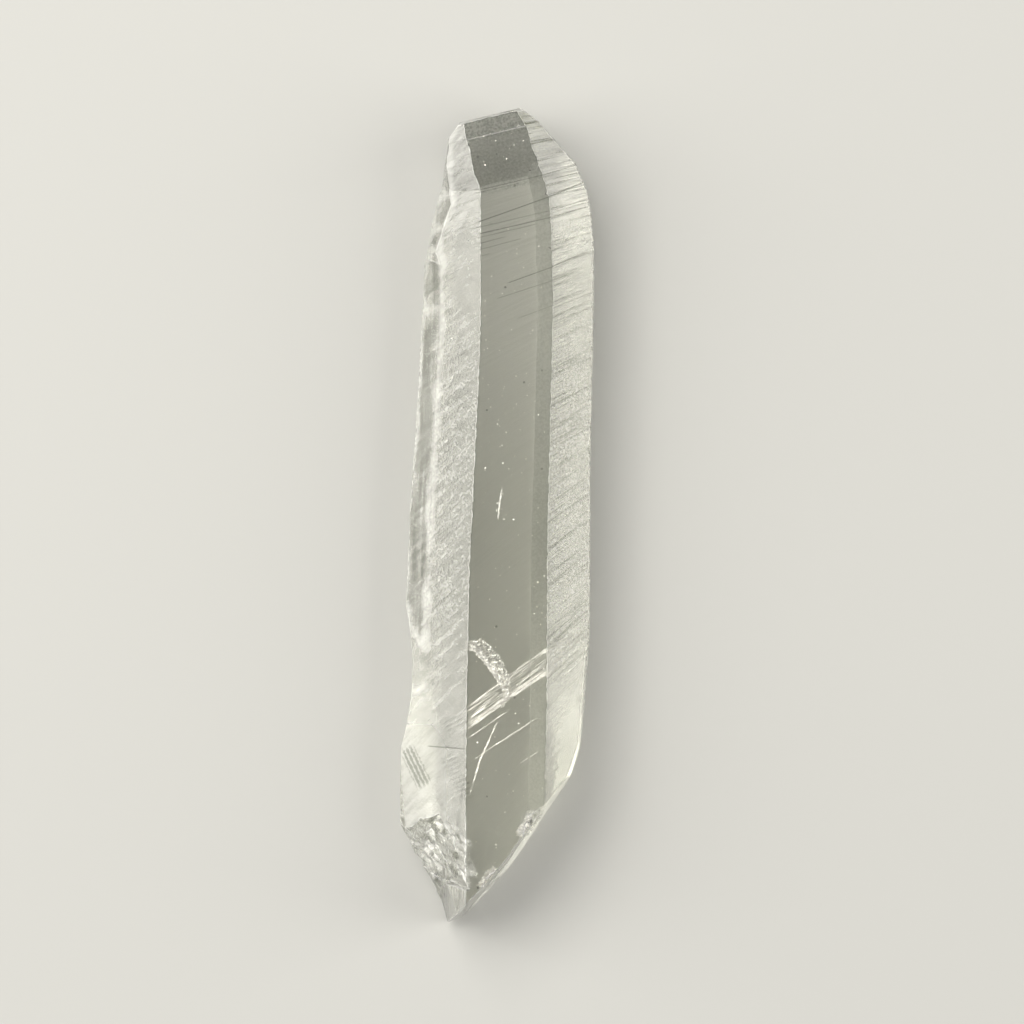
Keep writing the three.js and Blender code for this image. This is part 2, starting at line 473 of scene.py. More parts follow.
crisp_chains = [chain for edge, chain in chains.items() if is_crisp(edge)]
crisp = np.array(sorted({pair for chain in crisp_chains for pair in zip(chain, chain[1:])}))
sides_of_faces = np.vstack([faces[:, [0, 1]], faces[:, [1, 2]], faces[:, [2, 0]]])
touching = np.unique(np.sort(sides_of_faces, axis=1), axis=0)
crisp_count = np.bincount(crisp.ravel(), minlength=len(place))
touching_count = np.bincount(touching.ravel(), minlength=len(place))
print(len(crisp), "short crisp edges,", (crisp_count > 2).sum(), "corners")

# %% Relax the surface
ROUNDS = 30
PULL = 0.5


def neighbour_sum(pairs, values):
    total = np.zeros_like(values)
    np.add.at(total, pairs[:, 0], values[pairs[:, 1]])
    np.add.at(total, pairs[:, 1], values[pairs[:, 0]])
    return total


on_edge = crisp_count == 2
inside_face = crisp_count == 0
before = place.copy()
for _ in range(ROUNDS):
    along = neighbour_sum(crisp, place)[on_edge] / 2
    around = neighbour_sum(touching, place)[inside_face] / touching_count[inside_face, None]
    place[on_edge] += PULL * (along - place[on_edge])
    place[inside_face] += PULL * (around - place[inside_face])
print(f"points moved by up to {np.linalg.norm(place - before, axis=1).max():.2f} mm")

# %% [markdown]
# ## Press in the growth lines
# Each growth line has a strength that fades out at both ends of the line. A small share of it is a real
# depth, to which the middle cut sinks into the surface. The rest is only looks: the strength is kept
# for each point, and the material paints a strong line darker, as painted shade in its groove.

# %% Press the growth lines
PRESSED_SHARE = 0.12
FADE_PER_MM = 3
line_strength = np.zeros(len(place))
for edge, chain in chains.items():
    if edge[groove_number] == 0:
        continue
    *_, first, last, strength = GROOVES[edge[groove_number] - 1]
    inward = -(edge.link_faces[0].normal + edge.link_faces[1].normal).normalized()
    if inward.z > 0:
        continue
    for name in set(chain) - set(np.flatnonzero(line_strength)):
        x = place[name][0]
        fade_in = np.clip(FADE_PER_MM * (x - first), 0, 1)
        fade_out = np.clip(FADE_PER_MM * (last - x), 0, 1)
        line_strength[name] = strength * fade_in * fade_out
        place[name] += np.array(inward) * line_strength[name] * PRESSED_SHARE
print((line_strength > 0).sum(), "points pressed in")

# %% [markdown]
# ## Chip the edges
# No edge of a brittle crystal is a clean line for long. Each point of a crisp edge steps inwards by a
# small random amount. Where the edge borders the glassy front face, it strays sideways in that face
# instead, and that is what makes its outline look toothed. The edges of growth lines and of narrow
# ledges are too fine to chip, and the edges of the back face are left as they are.

# %% Chip the edges
CHIP_DEPTH = 0.10
CHIP_LENGTH = 0.9
STRAY_DEPTH = 0.12
TOOTH_LENGTH = 0.25
WAVE_LENGTH = 0.8
WAVE_SHARE = 0.4
STEP_WIDTH = 0.12


def mean_width(flat):
    own = set(flat)
    rim = [edge for face in flat for edge in face.edges if not own.issuperset(edge.link_faces)]
    return 2 * area_of(flat) / sum(edge.calc_length() for edge in rim)


step_faces = {face for flat in flats if mean_width(flat) < STEP_WIDTH for face in flat}


def can_chip(edge):
    fine_line = edge.seam or not step_faces.isdisjoint(edge.link_faces)
    return is_crisp(edge) and not fine_line


def chip(edge, point):
    left, right = edge.link_faces
    for face in edge.link_faces:
        if finish_at[face] == GLASSY and face.normal.z < 0:
            return Vector()
        if finish_at[face] == GLASSY:
            along = (edge.verts[1].co - edge.verts[0].co).normalized()
            stray = noise.noise(point / TOOTH_LENGTH) + WAVE_SHARE * noise.noise(point / WAVE_LENGTH)
            return along.cross(face.normal) * STRAY_DEPTH * stray
    rough = 0.5 + 0.5 * noise.noise(point / CHIP_LENGTH)
    return -(left.normal + right.normal).normalized() * CHIP_DEPTH * rough


real_edges = {edge: chain for edge, chain in chains.items() if can_chip(edge)}
chips = {name: chip(edge, Vector(place[name])) for edge, chain in real_edges.items() for name in chain}
for name, shift in chips.items():
    place[name] += shift
place[:, 2] = np.clip(place[:, 2], 0, size.z)
print(len(chips), "edge points chipped")

# %% [markdown]
# ## Masks
# The relief and the material both need to know how etched, ribbed or crushed the surface is at each
# point, whether it belongs to the front, and how much its growth layers and its uneven patches show
# there. These masks travel with the mesh as attributes. Three lengths travel with it as well. Two are
# the distances to the nearest edge and to the ridge at the left, because the material paints a white
# highlight along them. The third is how far a point lies across the growth lines, which climb more
# steeply towards the lower end.

# %% Make the mesh
mesh = bpy.data.meshes.new("crystal_body")
mesh.from_pydata(place * MM, [], triangles)
mesh.update()
crystal = bpy.data.objects.new("crystal_body", mesh)
scene.collection.objects.link(crystal)


def store(name, domain, values):
    attribute = mesh.attributes.new(name, "FLOAT", domain)
    attribute.data.foreach_set("value", np.asarray(values, dtype=np.float32))


normals = np.zeros(len(mesh.polygons) * 3)
mesh.polygons.foreach_get("normal", normals)
normals = normals.reshape(-1, 3)
store("etched", "FACE", np.isin(triangle_finish, (ETCHED, RIBBED)))
store("smooth", "FACE", triangle_finish == SMOOTH)
store("line_strength", "POINT", line_strength)

# %% Mask helpers
RAGGED_SIZE = 0.9
SPOT_FADE = 0.25


def spread(values, rounds):
    for _ in range(rounds):
        values = (values + neighbour_sum(touching, values) / touching_count) / 2
    return values


def point_mask(*kinds):
    hit = np.isin(triangle_finish, kinds).astype(float)
    amount = np.zeros(len(place))
    share = np.zeros(len(place))
    for corner in range(3):
        np.add.at(amount, faces[:, corner], hit)
        np.add.at(share, faces[:, corner], 1)
    return amount / share


def spot(x, y, reach):
    away = np.hypot(place[:, 0] - x, place[:, 1] - y) / reach
    ragged = np.array([noise.noise(Vector(point) / RAGGED_SIZE) for point in place])
    return np.clip((1.0 + 0.5 * ragged - away) / SPOT_FADE, 0, 1)

# %% Crushed places
SPOT_FLOOR = 0.45 * size.z
CRUSHED_SPOTS = [  # x, y, reach
    (-5.6, -33.2, 3.1),
    (-3.2, -35.0, 1.3),
    (3.8, -30.6, 1.7),
    (0.4, -36.0, 1.6),
]

crushed = point_mask(CRUSHED)
for x, y, reach in CRUSHED_SPOTS:
    crushed = np.maximum(crushed, spot(x, y, reach) * (place[:, 2] > SPOT_FLOOR))
store("crushed", "POINT", spread(crushed, 2))
print(f"crushed share of the points: {crushed.mean():.3f}")

# %% Etched, layered and patchy places
SHALLOW_BELOW = 0.6 * size.z
SHALLOW_SHARE = 0.06
LAYERS_FADE_FROM = -22
PATCH_SIZE = 2.4
CLIMB_AT_TOP = 0.21
CLIMB_GAIN = 0.0135

upright = np.zeros(len(place))
for corner in range(3):
    np.add.at(upright, faces[:, corner], normals[:, 2])
store("front", "POINT", upright > 0)

raised = place[:, 2] > SHALLOW_BELOW
etched_soft = np.clip(2.2 * spread(point_mask(ETCHED, RIBBED), 1) - 1.2, 0, 1)
store("etched_soft", "POINT", etched_soft * (SHALLOW_SHARE + (1 - SHALLOW_SHARE) * raised))
store("ribbed", "POINT", spread(point_mask(RIBBED), 2))

right_share = np.clip(place[:, 0] / 2, 0, 1)
height_share = np.clip((place[:, 1] - LAYERS_FADE_FROM) / 10, 0.2, 1)
store("layered", "POINT", (0.3 + 0.7 * right_share) * height_share)
store("patches", "POINT", [0.5 + 0.9 * noise.noise(Vector(point) / PATCH_SIZE) for point in place])

climb = CLIMB_AT_TOP + CLIMB_GAIN * (size.y / 2 - place[:, 1])
store("across_lines", "POINT", place[:, 1] - place[:, 0] * climb)

# %% Measure how far the edges are
SHARP = math.cos(math.radians(25))


def distances(names):
    near = KDTree(len(names))
    for i, name in enumerate(names):
        near.insert(place[name], i)
    near.balance()
    return [near.find(point)[2] for point in place]


def is_ridge(edge):
    kinds = {finish_at[face] for face in edge.link_faces}
    return kinds == {RIBBED, ETCHED} and edge.link_faces[0].normal.z > 0


def is_sharp(edge):
    return edge.link_faces[0].normal.dot(edge.link_faces[1].normal) < SHARP


edge_points = sorted({name for edge, chain in real_edges.items() if is_sharp(edge) for name in chain})
ridge_points = sorted({name for edge, chain in chains.items() if is_ridge(edge) for name in chain})
store("edge_distance", "POINT", distances(edge_points))
store("ridge_distance", "POINT", distances(ridge_points))
print(len(edge_points), "points on edges,", len(ridge_points), "on the left ridge")

# %% [markdown]
# ## Relief
# Geometry Nodes move every point inwards by an amount that the masks set. The etched bevels get long
# shallow swells and the slanting steps of the growth layers, the ribbed strip gets lengthwise ribs, and
# crushed places break into splinters. The splinters' pattern is kept on the mesh, so that the material
# can darken the creases between them.

# %% Helpers for a tree
def calculate(tree, operation, *values):
    return add(tree, "ShaderNodeMath", dict(enumerate(values)), operation=operation).outputs[0]


def scaled(tree, vector, factor):
    inputs = {0: vector, "Scale": factor}
    return add(tree, "ShaderNodeVectorMath", inputs, operation="SCALE").outputs[0]


def group_input(tree, name, kind, value=None):
    socket = tree.interface.new_socket(name, in_out="INPUT", socket_type=kind)
    if value is not None:
        socket.default_value = value
    return socket


def named(tree, name):
    node = add(tree, "GeometryNodeInputNamedAttribute", {"Name": name}, data_type="FLOAT")
    return node.outputs["Attribute"]

# %% Inputs of the relief
RELIEF = {
    "Swell Size": 1.6,
    "Swell Depth": 0.06,
    "Layer Spacing": 0.9,
    "Layer Depth": 0.16,
    "Rib Spacing": 0.55,
    "Rib Depth": 0.10,
    "Splinter Size": 1.3,
    "Splinter Depth": 0.24,
}

relief = bpy.data.node_groups.new("relief", "GeometryNodeTree")
relief.is_modifier = True
group_input(relief, "Geometry", "NodeSocketGeometry")
for label, value in RELIEF.items():
    group_input(relief, label, "NodeSocketFloat", value)
relief.interface.new_socket("Geometry", in_out="OUTPUT", socket_type="NodeSocketGeometry")
given = add(relief, "NodeGroupInput").outputs
print("the relief takes", ", ".join(RELIEF))

# %% Patterns of the relief
LINE_STRETCH = 9.0
SPLINTER_LEAN = 0.5
SPLINTER_SQUEEZE = 1.7

position = scaled(relief, add(relief, "GeometryNodeInputPosition").outputs[0], 1 / MM)
xyz = add(relief, "ShaderNodeSeparateXYZ", {0: position}).outputs


def noise_along(across, along, spacing):
    drawn_out = calculate(relief, "DIVIDE", along, LINE_STRETCH)
    site = add(relief, "ShaderNodeCombineXYZ", {0: across, 1: drawn_out}).outputs[0]
    scale = calculate(relief, "DIVIDE", 1.0, spacing)
    return add(relief, "ShaderNodeTexNoise", {"Vector": site, "Scale": scale, "Detail": 1.5}).outputs[0]


swell_scale = calculate(relief, "DIVIDE", 1.0, given["Swell Size"])
swells = add(relief, "ShaderNodeTexNoise", {"Vector": position, "Scale": swell_scale, "Detail": 2.0})
layers = noise_along(named(relief, "across_lines"), xyz["X"], given["Layer Spacing"])
ribs = noise_along(xyz["X"], xyz["Y"], given["Rib Spacing"])
splinter_scale = calculate(relief, "DIVIDE", 1.0, given["Splinter Size"])
slanted = calculate(relief, "MULTIPLY_ADD", xyz["X"], SPLINTER_LEAN, xyz["Y"])
slanted = calculate(relief, "MULTIPLY", slanted, SPLINTER_SQUEEZE)
splinter_place = add(relief, "ShaderNodeCombineXYZ", {0: xyz["X"], 1: slanted, 2: xyz["Z"]}).outputs[0]
splinters = add(relief, "ShaderNodeTexVoronoi", {
    "Vector": splinter_place, "Scale": splinter_scale,
    "Detail": 1.0, "Roughness": 0.35, "Lacunarity": 2.3})
scoops = calculate(relief, "SUBTRACT", 1.0, splinters.outputs["Distance"])

# %% Sink the surface
def sunk(pattern, mask_name, depth):
    centred = calculate(relief, "MULTIPLY_ADD", pattern, 2.5, -0.75)
    centred.node.use_clamp = True
    masked = calculate(relief, "MULTIPLY", centred, named(relief, mask_name))
    return calculate(relief, "MULTIPLY", masked, depth)


depth = sunk(swells.outputs[0], "etched_soft", given["Swell Depth"])
layer_depth = calculate(relief, "MULTIPLY", given["Layer Depth"], named(relief, "layered"))
depth = calculate(relief, "ADD", depth, sunk(layers, "etched_soft", layer_depth))
depth = calculate(relief, "ADD", depth, sunk(ribs, "ribbed", given["Rib Depth"]))
depth = calculate(relief, "ADD", depth, sunk(scoops, "crushed", given["Splinter Depth"]))
outward = add(relief, "GeometryNodeInputNormal").outputs[0]
offset = scaled(relief, outward, calculate(relief, "MULTIPLY", depth, -MM))
marked = add(relief, "GeometryNodeStoreNamedAttribute", {
    "Geometry": given["Geometry"], "Name": "splinter", "Value": splinters.outputs["Distance"]})
moved = add(relief, "GeometryNodeSetPosition", {"Geometry": marked.outputs[0], "Offset": offset})
add(relief, "NodeGroupOutput", {"Geometry": moved.outputs[0]})
print(len(relief.nodes), "nodes make the relief")

# %% Apply the relief
SHADED_AS_EDGE = math.radians(22)


def applied(piece):
    evaluated = piece.evaluated_get(bpy.context.evaluated_depsgraph_get())
    result = bpy.data.meshes.new_from_object(evaluated)
    piece.modifiers.clear()
    piece.data = result


modifier = crystal.modifiers.new("relief", "NODES")
modifier.node_group = relief
applied(crystal)
crystal.data.polygons.foreach_set("use_smooth", [True] * len(crystal.data.polygons))
crystal.data.set_sharp_from_angle(angle=SHADED_AS_EDGE)
print(len(crystal.data.polygons), "triangles after the relief")

# %% [markdown]
# ## Surface effects
# Each effect is a group of shader nodes that gives a value between 0 and 1. Grain is the fine etching.
# Lines are the growth striations: a noise stretched along one direction, so it needs to know how far
# a point is across the lines and along them. Specks are small round spots, each with a random value
# called its kind, by which the material picks a few of them.

# %% Build a group
def value_group(name, inputs):
    group = bpy.data.node_groups.new(name, "ShaderNodeTree")
    for label in inputs:
        kind = "NodeSocketVector" if label == "Place" else "NodeSocketFloat"
        group.interface.new_socket(label, in_out="INPUT", socket_type=kind)
    group.interface.new_socket("Value", in_out="OUTPUT", socket_type="NodeSocketFloat")
    return group, add(group, "NodeGroupInput").outputs


def stretched(tree, value, contrast):
    centred = calculate(tree, "SUBTRACT", value, 0.5)
    result = calculate(tree, "MULTIPLY_ADD", centred, contrast, 0.5)
    result.node.use_clamp = True
    return result

# %% Grain
grain_group, given = value_group("grain", ["Place", "Size", "Contrast"])
scale = calculate(grain_group, "DIVIDE", 1 / MM, given["Size"])
cells = add(grain_group, "ShaderNodeTexNoise", {
    "Vector": given["Place"], "Scale": scale, "Detail": 1.0, "Roughness": 0.5})
value = stretched(grain_group, cells.outputs[0], given["Contrast"])
add(grain_group, "NodeGroupOutput", {"Value": value})

# %% Lines
lines_group, given = value_group("lines", ["Across", "Along", "Spacing", "Length", "Contrast"])
across = calculate(lines_group, "DIVIDE", given["Across"], given["Spacing"])
along = calculate(lines_group, "DIVIDE", given["Along"], given["Length"])
streaks = add(lines_group, "ShaderNodeTexNoise", {
    "Vector": add(lines_group, "ShaderNodeCombineXYZ", {"X": across, "Y": along}).outputs[0],
    "Scale": 1.0, "Detail": 3.0, "Roughness": 0.65})
value = stretched(lines_group, streaks.outputs[0], given["Contrast"])
add(lines_group, "NodeGroupOutput", {"Value": value})

# %% Specks
SPECK_CONTRAST = 2.5

specks_group, given = value_group("specks", ["Place", "Spacing", "Radius"])
specks_group.interface.new_socket("Kind", in_out="OUTPUT", socket_type="NodeSocketFloat")
scale = calculate(specks_group, "DIVIDE", 1 / MM, given["Spacing"])
nearest = add(specks_group, "ShaderNodeTexVoronoi", {"Vector": given["Place"], "Scale": scale})
reach = calculate(specks_group, "DIVIDE", given["Radius"], given["Spacing"])
away = calculate(specks_group, "DIVIDE", nearest.outputs["Distance"], reach)
inside = calculate(specks_group, "SUBTRACT", 1.0, away)
inside = calculate(specks_group, "MULTIPLY", inside, SPECK_CONTRAST)
inside.node.use_clamp = True
kind = add(specks_group, "ShaderNodeSeparateColor", {0: nearest.outputs["Color"]}).outputs[0]
add(specks_group, "NodeGroupOutput", {"Value": inside, "Kind": kind})
print("effects:", grain_group.name, lines_group.name, specks_group.name)

# %% [markdown]
# ## Clear crystal
# The whole body is one clear material, because light that goes in at one face comes out at another. Its
# refractive index is close to that of nifontovite, and its faint yellow absorption is a given value.
# What
# differs from face to face is the frost: a thin rough coat that scatters white light, laid on by the
# masks, with small dark gaps between its grains.

# %% Clear crystal
REFRACTIVE_INDEX = 1.578
PALE_YELLOW = (0.93, 0.94, 0.80, 1)
ABSORPTION = 45.0

clear = bpy.data.materials.new("clear_crystal")
clear.use_nodes = True
tree = clear.node_tree
shader = tree.nodes["Principled BSDF"]
shader.inputs["Transmission Weight"].default_value = 1.0
shader.inputs["IOR"].default_value = REFRACTIVE_INDEX
shader.inputs["Coat IOR"].default_value = 4.0
shader.inputs["Coat Roughness"].default_value = 0.65
absorb = add(tree, "ShaderNodeVolumeAbsorption", {"Color": PALE_YELLOW, "Density": ABSORPTION})
tree.links.new(absorb.outputs[0], tree.nodes["Material Output"].inputs["Volume"])
print("refractive index", REFRACTIVE_INDEX)

# %% [markdown]
# ## Mix the masks
# The frost and its gaps are sums and products of masks and effects. Short helpers keep them readable.
# They add their nodes to the tree at hand. A ramp goes from one value to another between two limits.
# Where a mask depends on the place, x and y are that place in millimetres, and climbed is the height
# with the climb of the topmost growth lines taken off. A window is a stretch of the clear front face.

# %% Mixing helpers
def mask(name):
    return add(tree, "ShaderNodeAttribute", attribute_name=name).outputs["Fac"]


def effect(group, inputs):
    return add(tree, "ShaderNodeGroup", inputs, node_tree=group).outputs["Value"]


def times(first, *others):
    for value in others:
        first = calculate(tree, "MULTIPLY", first, value)
    return first


def plus(first, *others):
    for value in others:
        first = calculate(tree, "ADD", first, value)
    return first


def ramp(value, low, high, start=0.0, end=1.0):
    return add(tree, "ShaderNodeMapRange", {
        "Value": value, "From Min": low, "From Max": high, "To Min": start, "To Max": end}).outputs[0]


def opposite(value):
    return calculate(tree, "SUBTRACT", 1.0, value)

# %% Places
TOP_CLIMB = 0.22

place_on = add(tree, "ShaderNodeTexCoord").outputs["Object"]
xyz = add(tree, "ShaderNodeSeparateXYZ", {0: place_on}).outputs
x = times(xyz["X"], 1 / MM)
y = times(xyz["Y"], 1 / MM)
across_lines = mask("across_lines")
edge_distance = mask("edge_distance")
climbed = plus(y, times(x, -TOP_CLIMB))
top_line = ramp(climbed, 37.2, 37.3)
# The top end of the front face, where the material paints shade.
shaded_top_end = plus(ramp(climbed, 31.6, 31.9), top_line)
upper = ramp(y, 6.0, 30.0)
lower_end = ramp(y, -28.0, -31.0)

# %% Masks of the finishes
front = mask("front")
smooth = mask("smooth")
crushed = mask("crushed")
ribbed = mask("ribbed")
layered = mask("layered")
patches = mask("patches")
cut_line = ramp(mask("line_strength"), 0.0, 0.05)
# The lower right, where the frost thins out; the material also paints shade there.
clearing = times(ramp(x, 2.0, 4.5), ramp(y, -19.0, -26.0))
etched = times(mask("etched"), opposite(times(clearing, 0.75)))
window = times(front, opposite(mask("etched")), opposite(crushed))

# %% Patterns
def lines(across, along, spacing, length, contrast=3.5):
    return effect(lines_group, {
        "Across": across, "Along": along, "Spacing": spacing, "Length": length, "Contrast": contrast})


grain = effect(grain_group, {"Place": place_on, "Size": 0.24, "Contrast": 4.0})
specks = effect(specks_group, {"Place": place_on, "Spacing": 0.9, "Radius": 0.15})
is_dark = ramp(specks.node.outputs["Kind"], 0.93, 0.94)
hair_lines = lines(across_lines, x, 0.28, 12.0)
layers = lines(across_lines, x, 0.38, 10.0)
ribs = lines(plus(x, times(y, -0.04)), y, 0.33, 9.0)
creases = ramp(plus(mask("splinter"), times(grain, 0.15)), 0.80, 1.0)
print(len(tree.nodes), "nodes for places, masks and patterns")

# %% [markdown]
# ## Scores and strokes
# At the lower left there are three sets of short parallel scores, which look dark, and the frost of
# the left bevel has feathery strokes, some pale and some dark. Both are too fine for the points of the
# surface, so they are drawn in the material. A set of scores is a wave that fades at its ends and at
# its sides.

# %% Scores
SCORE_WANDER = 0.10


def score(centre, heading, reach, width, spacing):
    turn_to = math.radians(heading)
    from_x = plus(x, -centre[0])
    from_y = plus(y, -centre[1])
    along = plus(times(from_x, math.cos(turn_to)), times(from_y, math.sin(turn_to)))
    across = plus(times(from_x, -math.sin(turn_to)), times(from_y, math.cos(turn_to)))
    across = plus(across, times(grain, SCORE_WANDER))
    wave = calculate(tree, "COSINE", times(across, 2 * math.pi / spacing))
    within_ends = ramp(calculate(tree, "ABSOLUTE", along), 0.7 * reach, reach, 1.0, 0.0)
    within_sides = ramp(calculate(tree, "ABSOLUTE", across), 0.7 * width, width, 1.0, 0.0)
    return times(ramp(wave, -0.5, 0.1), times(within_ends, within_sides), front)


scores = plus(
    score((-7.95, -24.7), -64.0, 2.3, 0.85, 0.40),
    times(score((-4.1, -20.2), 28.0, 1.3, 0.9, 0.42), 0.35),
    times(score((-3.9, -25.6), 24.0, 0.9, 2.6, 0.45), 0.30),
)

# %% Feathery strokes
strokes = lines(plus(y, times(x, -0.9)), x, 0.75, 2.0, contrast=2.8)
feathered = times(ramp(x, -2.0, -3.5), etched, front)
pale_strokes = times(ramp(strokes, 0.60, 0.95), feathered)
dark_strokes = times(ramp(strokes, 0.55, 0.10), feathered)

# %% [markdown]
# ## Frost, its gaps and painted shade
# The edges, above all the ridge at the left, get a painted highlight: an even white frost laid along
# them stands in for the rim light that they catch. Between the grains of the frost the crystal shows
# through darker: those are the gaps. In a bright studio clear crystal looks almost as bright as frost,
# so thinner frost alone wouldn't show a gap. That is why the gaps are painted shade, a tint in the base
# colour, while the frost is the weight of the coat. The same tint paints shade on the smooth back
# faces, at the top end of the front face, on the clear lower right and in the growth lines.

# %% Painted highlight on the edges
# Painted highlight: white frost along the edges of the front stands in for the rim light they catch.
rim_highlight = times(front, ramp(edge_distance, 0.04, 0.16, 1.0, 0.0))
# The ridge at the left gets the same painted highlight, with a ragged edge.
ridge_highlight_edge = plus(mask("ridge_distance"), times(patches, -0.8), times(grain, 0.15))
ridge_highlight = times(front, ramp(ridge_highlight_edge, -0.25, 0.45, 1.0, 0.0))

# %% Gaps and painted shade in the frost
# The tint of the gaps and of all painted shade in the base colour.
GAP_AND_SHADE_COLOUR = (0.30, 0.31, 0.29, 1)

roughened = times(ramp(y, 25.0, 12.0, 0.25, 1.0), ramp(y, -9.0, -19.0, 1.0, 0.2))
glare = times(ramp(x, -4.0, -6.5), ramp(y, -19.0, -23.0), etched)
# Partly uneven tone, partly painted shade: patchy darkening towards the lower end, and painted shade
# where the left lamp glares on the low left bevel.
tone_and_painted_shade = plus(times(ramp(y, -12.0, -20.0), patches, 0.22), times(glare, 0.10))
dark_layers = times(ramp(layers, 0.0, 0.4, 1.0, 0.0), layered)
dark_ribs = times(ribbed, plus(0.12, times(opposite(ribs), 0.85)))
gaps_and_painted_shade = times(opposite(grain), roughened, plus(0.25, times(patches, 0.40)))
gaps_and_painted_shade = times(gaps_and_painted_shade, opposite(times(ribbed, 0.6)), opposite(times(layered, 0.3)))
gaps_and_painted_shade = plus(gaps_and_painted_shade, times(dark_layers, 0.8), tone_and_painted_shade, dark_ribs)
gaps_and_painted_shade = times(gaps_and_painted_shade, etched, opposite(rim_highlight), opposite(ridge_highlight), opposite(times(pale_strokes, 0.8)))
gaps_and_painted_shade = plus(gaps_and_painted_shade, times(dark_strokes, 0.30))

# %% Gaps and painted shade outside the frost
# Painted shade: the smooth back faces are tinted darker, less so towards the broken tip.
back_painted_shade = ramp(y, -15.0, -2.0, 0.45, 0.80)
window_lines = times(hair_lines, plus(0.14, times(upper, 0.12)))
window_rim = ramp(edge_distance, 0.03, 0.15, 1.0, 0.0)
# The top end of the front face gets painted shade, and the window is tinted darker along its rim.
window_gaps_and_painted_shade = plus(window_lines, times(shaded_top_end, grain, 0.36), times(window_rim, 0.55))
gaps_and_painted_shade = plus(gaps_and_painted_shade, times(smooth, plus(back_painted_shade, times(opposite(grain), 0.15))))
gaps_and_painted_shade = plus(gaps_and_painted_shade, times(window_gaps_and_painted_shade, window), times(crushed, creases, 0.7))
# Growth lines below the topmost are painted darker, as painted shade in their grooves; the dark specks
# are the crystal's own.
gaps_and_painted_shade = plus(gaps_and_painted_shade, times(cut_line, opposite(top_line)), times(specks, is_dark, front, 0.8))
# The clear lower right of the front bevels is painted darker: painted shade.
gaps_and_painted_shade = plus(gaps_and_painted_shade, times(scores, 1.2), times(clearing, front, etched, plus(0.7, times(layers, 0.3))))
tint = add(tree, "ShaderNodeMix", {0: gaps_and_painted_shade, 6: (1, 1, 1, 1), 7: GAP_AND_SHADE_COLOUR}, data_type="RGBA")
tree.links.new(tint.outputs[2], shader.inputs["Base Color"])
print(len(tree.nodes), "nodes with the gaps")

# %% Frost
dips = times(ramp(layers, 0.0, 0.35, 1.0, 0.0), layered)
stub = times(ramp(y, -36.0, -36.5), ramp(x, -2.9, -3.2), front)
even_grain = plus(times(plus(grain, -0.5), roughened, 0.50), times(pale_strokes, 0.25))
frost = plus(0.55, even_grain, times(opposite(dips), 0.15), ramp(y, 24.0, 34.0, 0.0, 0.35))
frost = times(frost, etched, opposite(times(dips, 0.6)), opposite(times(ribbed, opposite(ribs), 0.7)))
frost = times(frost, opposite(times(crushed, 0.7)), opposite(times(dark_strokes, 0.35)))
frost = plus(frost, times(crushed, opposite(creases), plus(0.55, times(patches, 0.45))))
# The painted highlight on the edges is laid on as frost here.
rim_highlight_frost = times(rim_highlight, plus(times(etched, 0.8), times(lower_end, 0.8)))
frost = plus(frost, rim_highlight_frost, times(ridge_highlight, etched, 0.7))
frost = plus(frost, times(stub, plus(0.10, times(ribs, 0.55))))
haze = plus(times(opposite(hair_lines), 0.07), ramp(y, -2.0, 18.0, 0.0, 0.18))
frost = plus(frost, times(window, haze))
frost = plus(times(frost, opposite(times(cut_line, 0.8))), times(cut_line, top_line, 0.8))
frost = plus(frost, times(window, ramp(climbed, 39.3, 39.5), 0.8))
frost = times(frost, opposite(times(scores, 0.8)))
tree.links.new(frost, shader.inputs["Coat Weight"])
print(len(tree.nodes), "nodes with the frost")

# %% Roughness and bump
BUMP_DEPTH = 0.10

rough = plus(0.02, times(etched, 0.10), times(smooth, 0.30), times(crushed, 0.15), times(glare, 0.4))
tree.links.new(rough, shader.inputs["Roughness"])
height = plus(times(grain, roughened, 0.7), times(layers, layered, 2.0), times(ribs, ribbed))
height = plus(times(height, etched), times(grain, crushed), times(stub, ribs, 1.5))
bump = add(tree, "ShaderNodeBump", {"Height": height, "Distance": BUMP_DEPTH * MM, "Strength": 1.0})
tree.links.new(bump.outputs[0], shader.inputs["Normal"])

# %% Dress the crystal
crystal.data.materials.append(clear)
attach(crystal, "root")
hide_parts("crystal")
print(crystal.name, "wears", clear.name)

# %% [markdown]
# ## Healed cracks
# Long ago the crystal cracked, and the cracks healed and left tiny channels that catch the light: a
# silky band that slants across the clear part, a crumbly crescent above it, and a thin white line
# below. Crumbs lie near the lower end, a short scratch and a bright dash just under the front face, and
# pinpoints all along it.
#
# A texture could only lie on a surface, and real ones float inside. So each crack is a ribbon below the
# skin, and Geometry Nodes scatters small flakes over it. The ribbon itself isn't kept.

# %% Lay a ribbon under the skin
RIBBON_STEP = 0.2
DOWN = Vector((0, 0, -1))
skin = BVHTree.FromPolygons(place.tolist(), triangles)


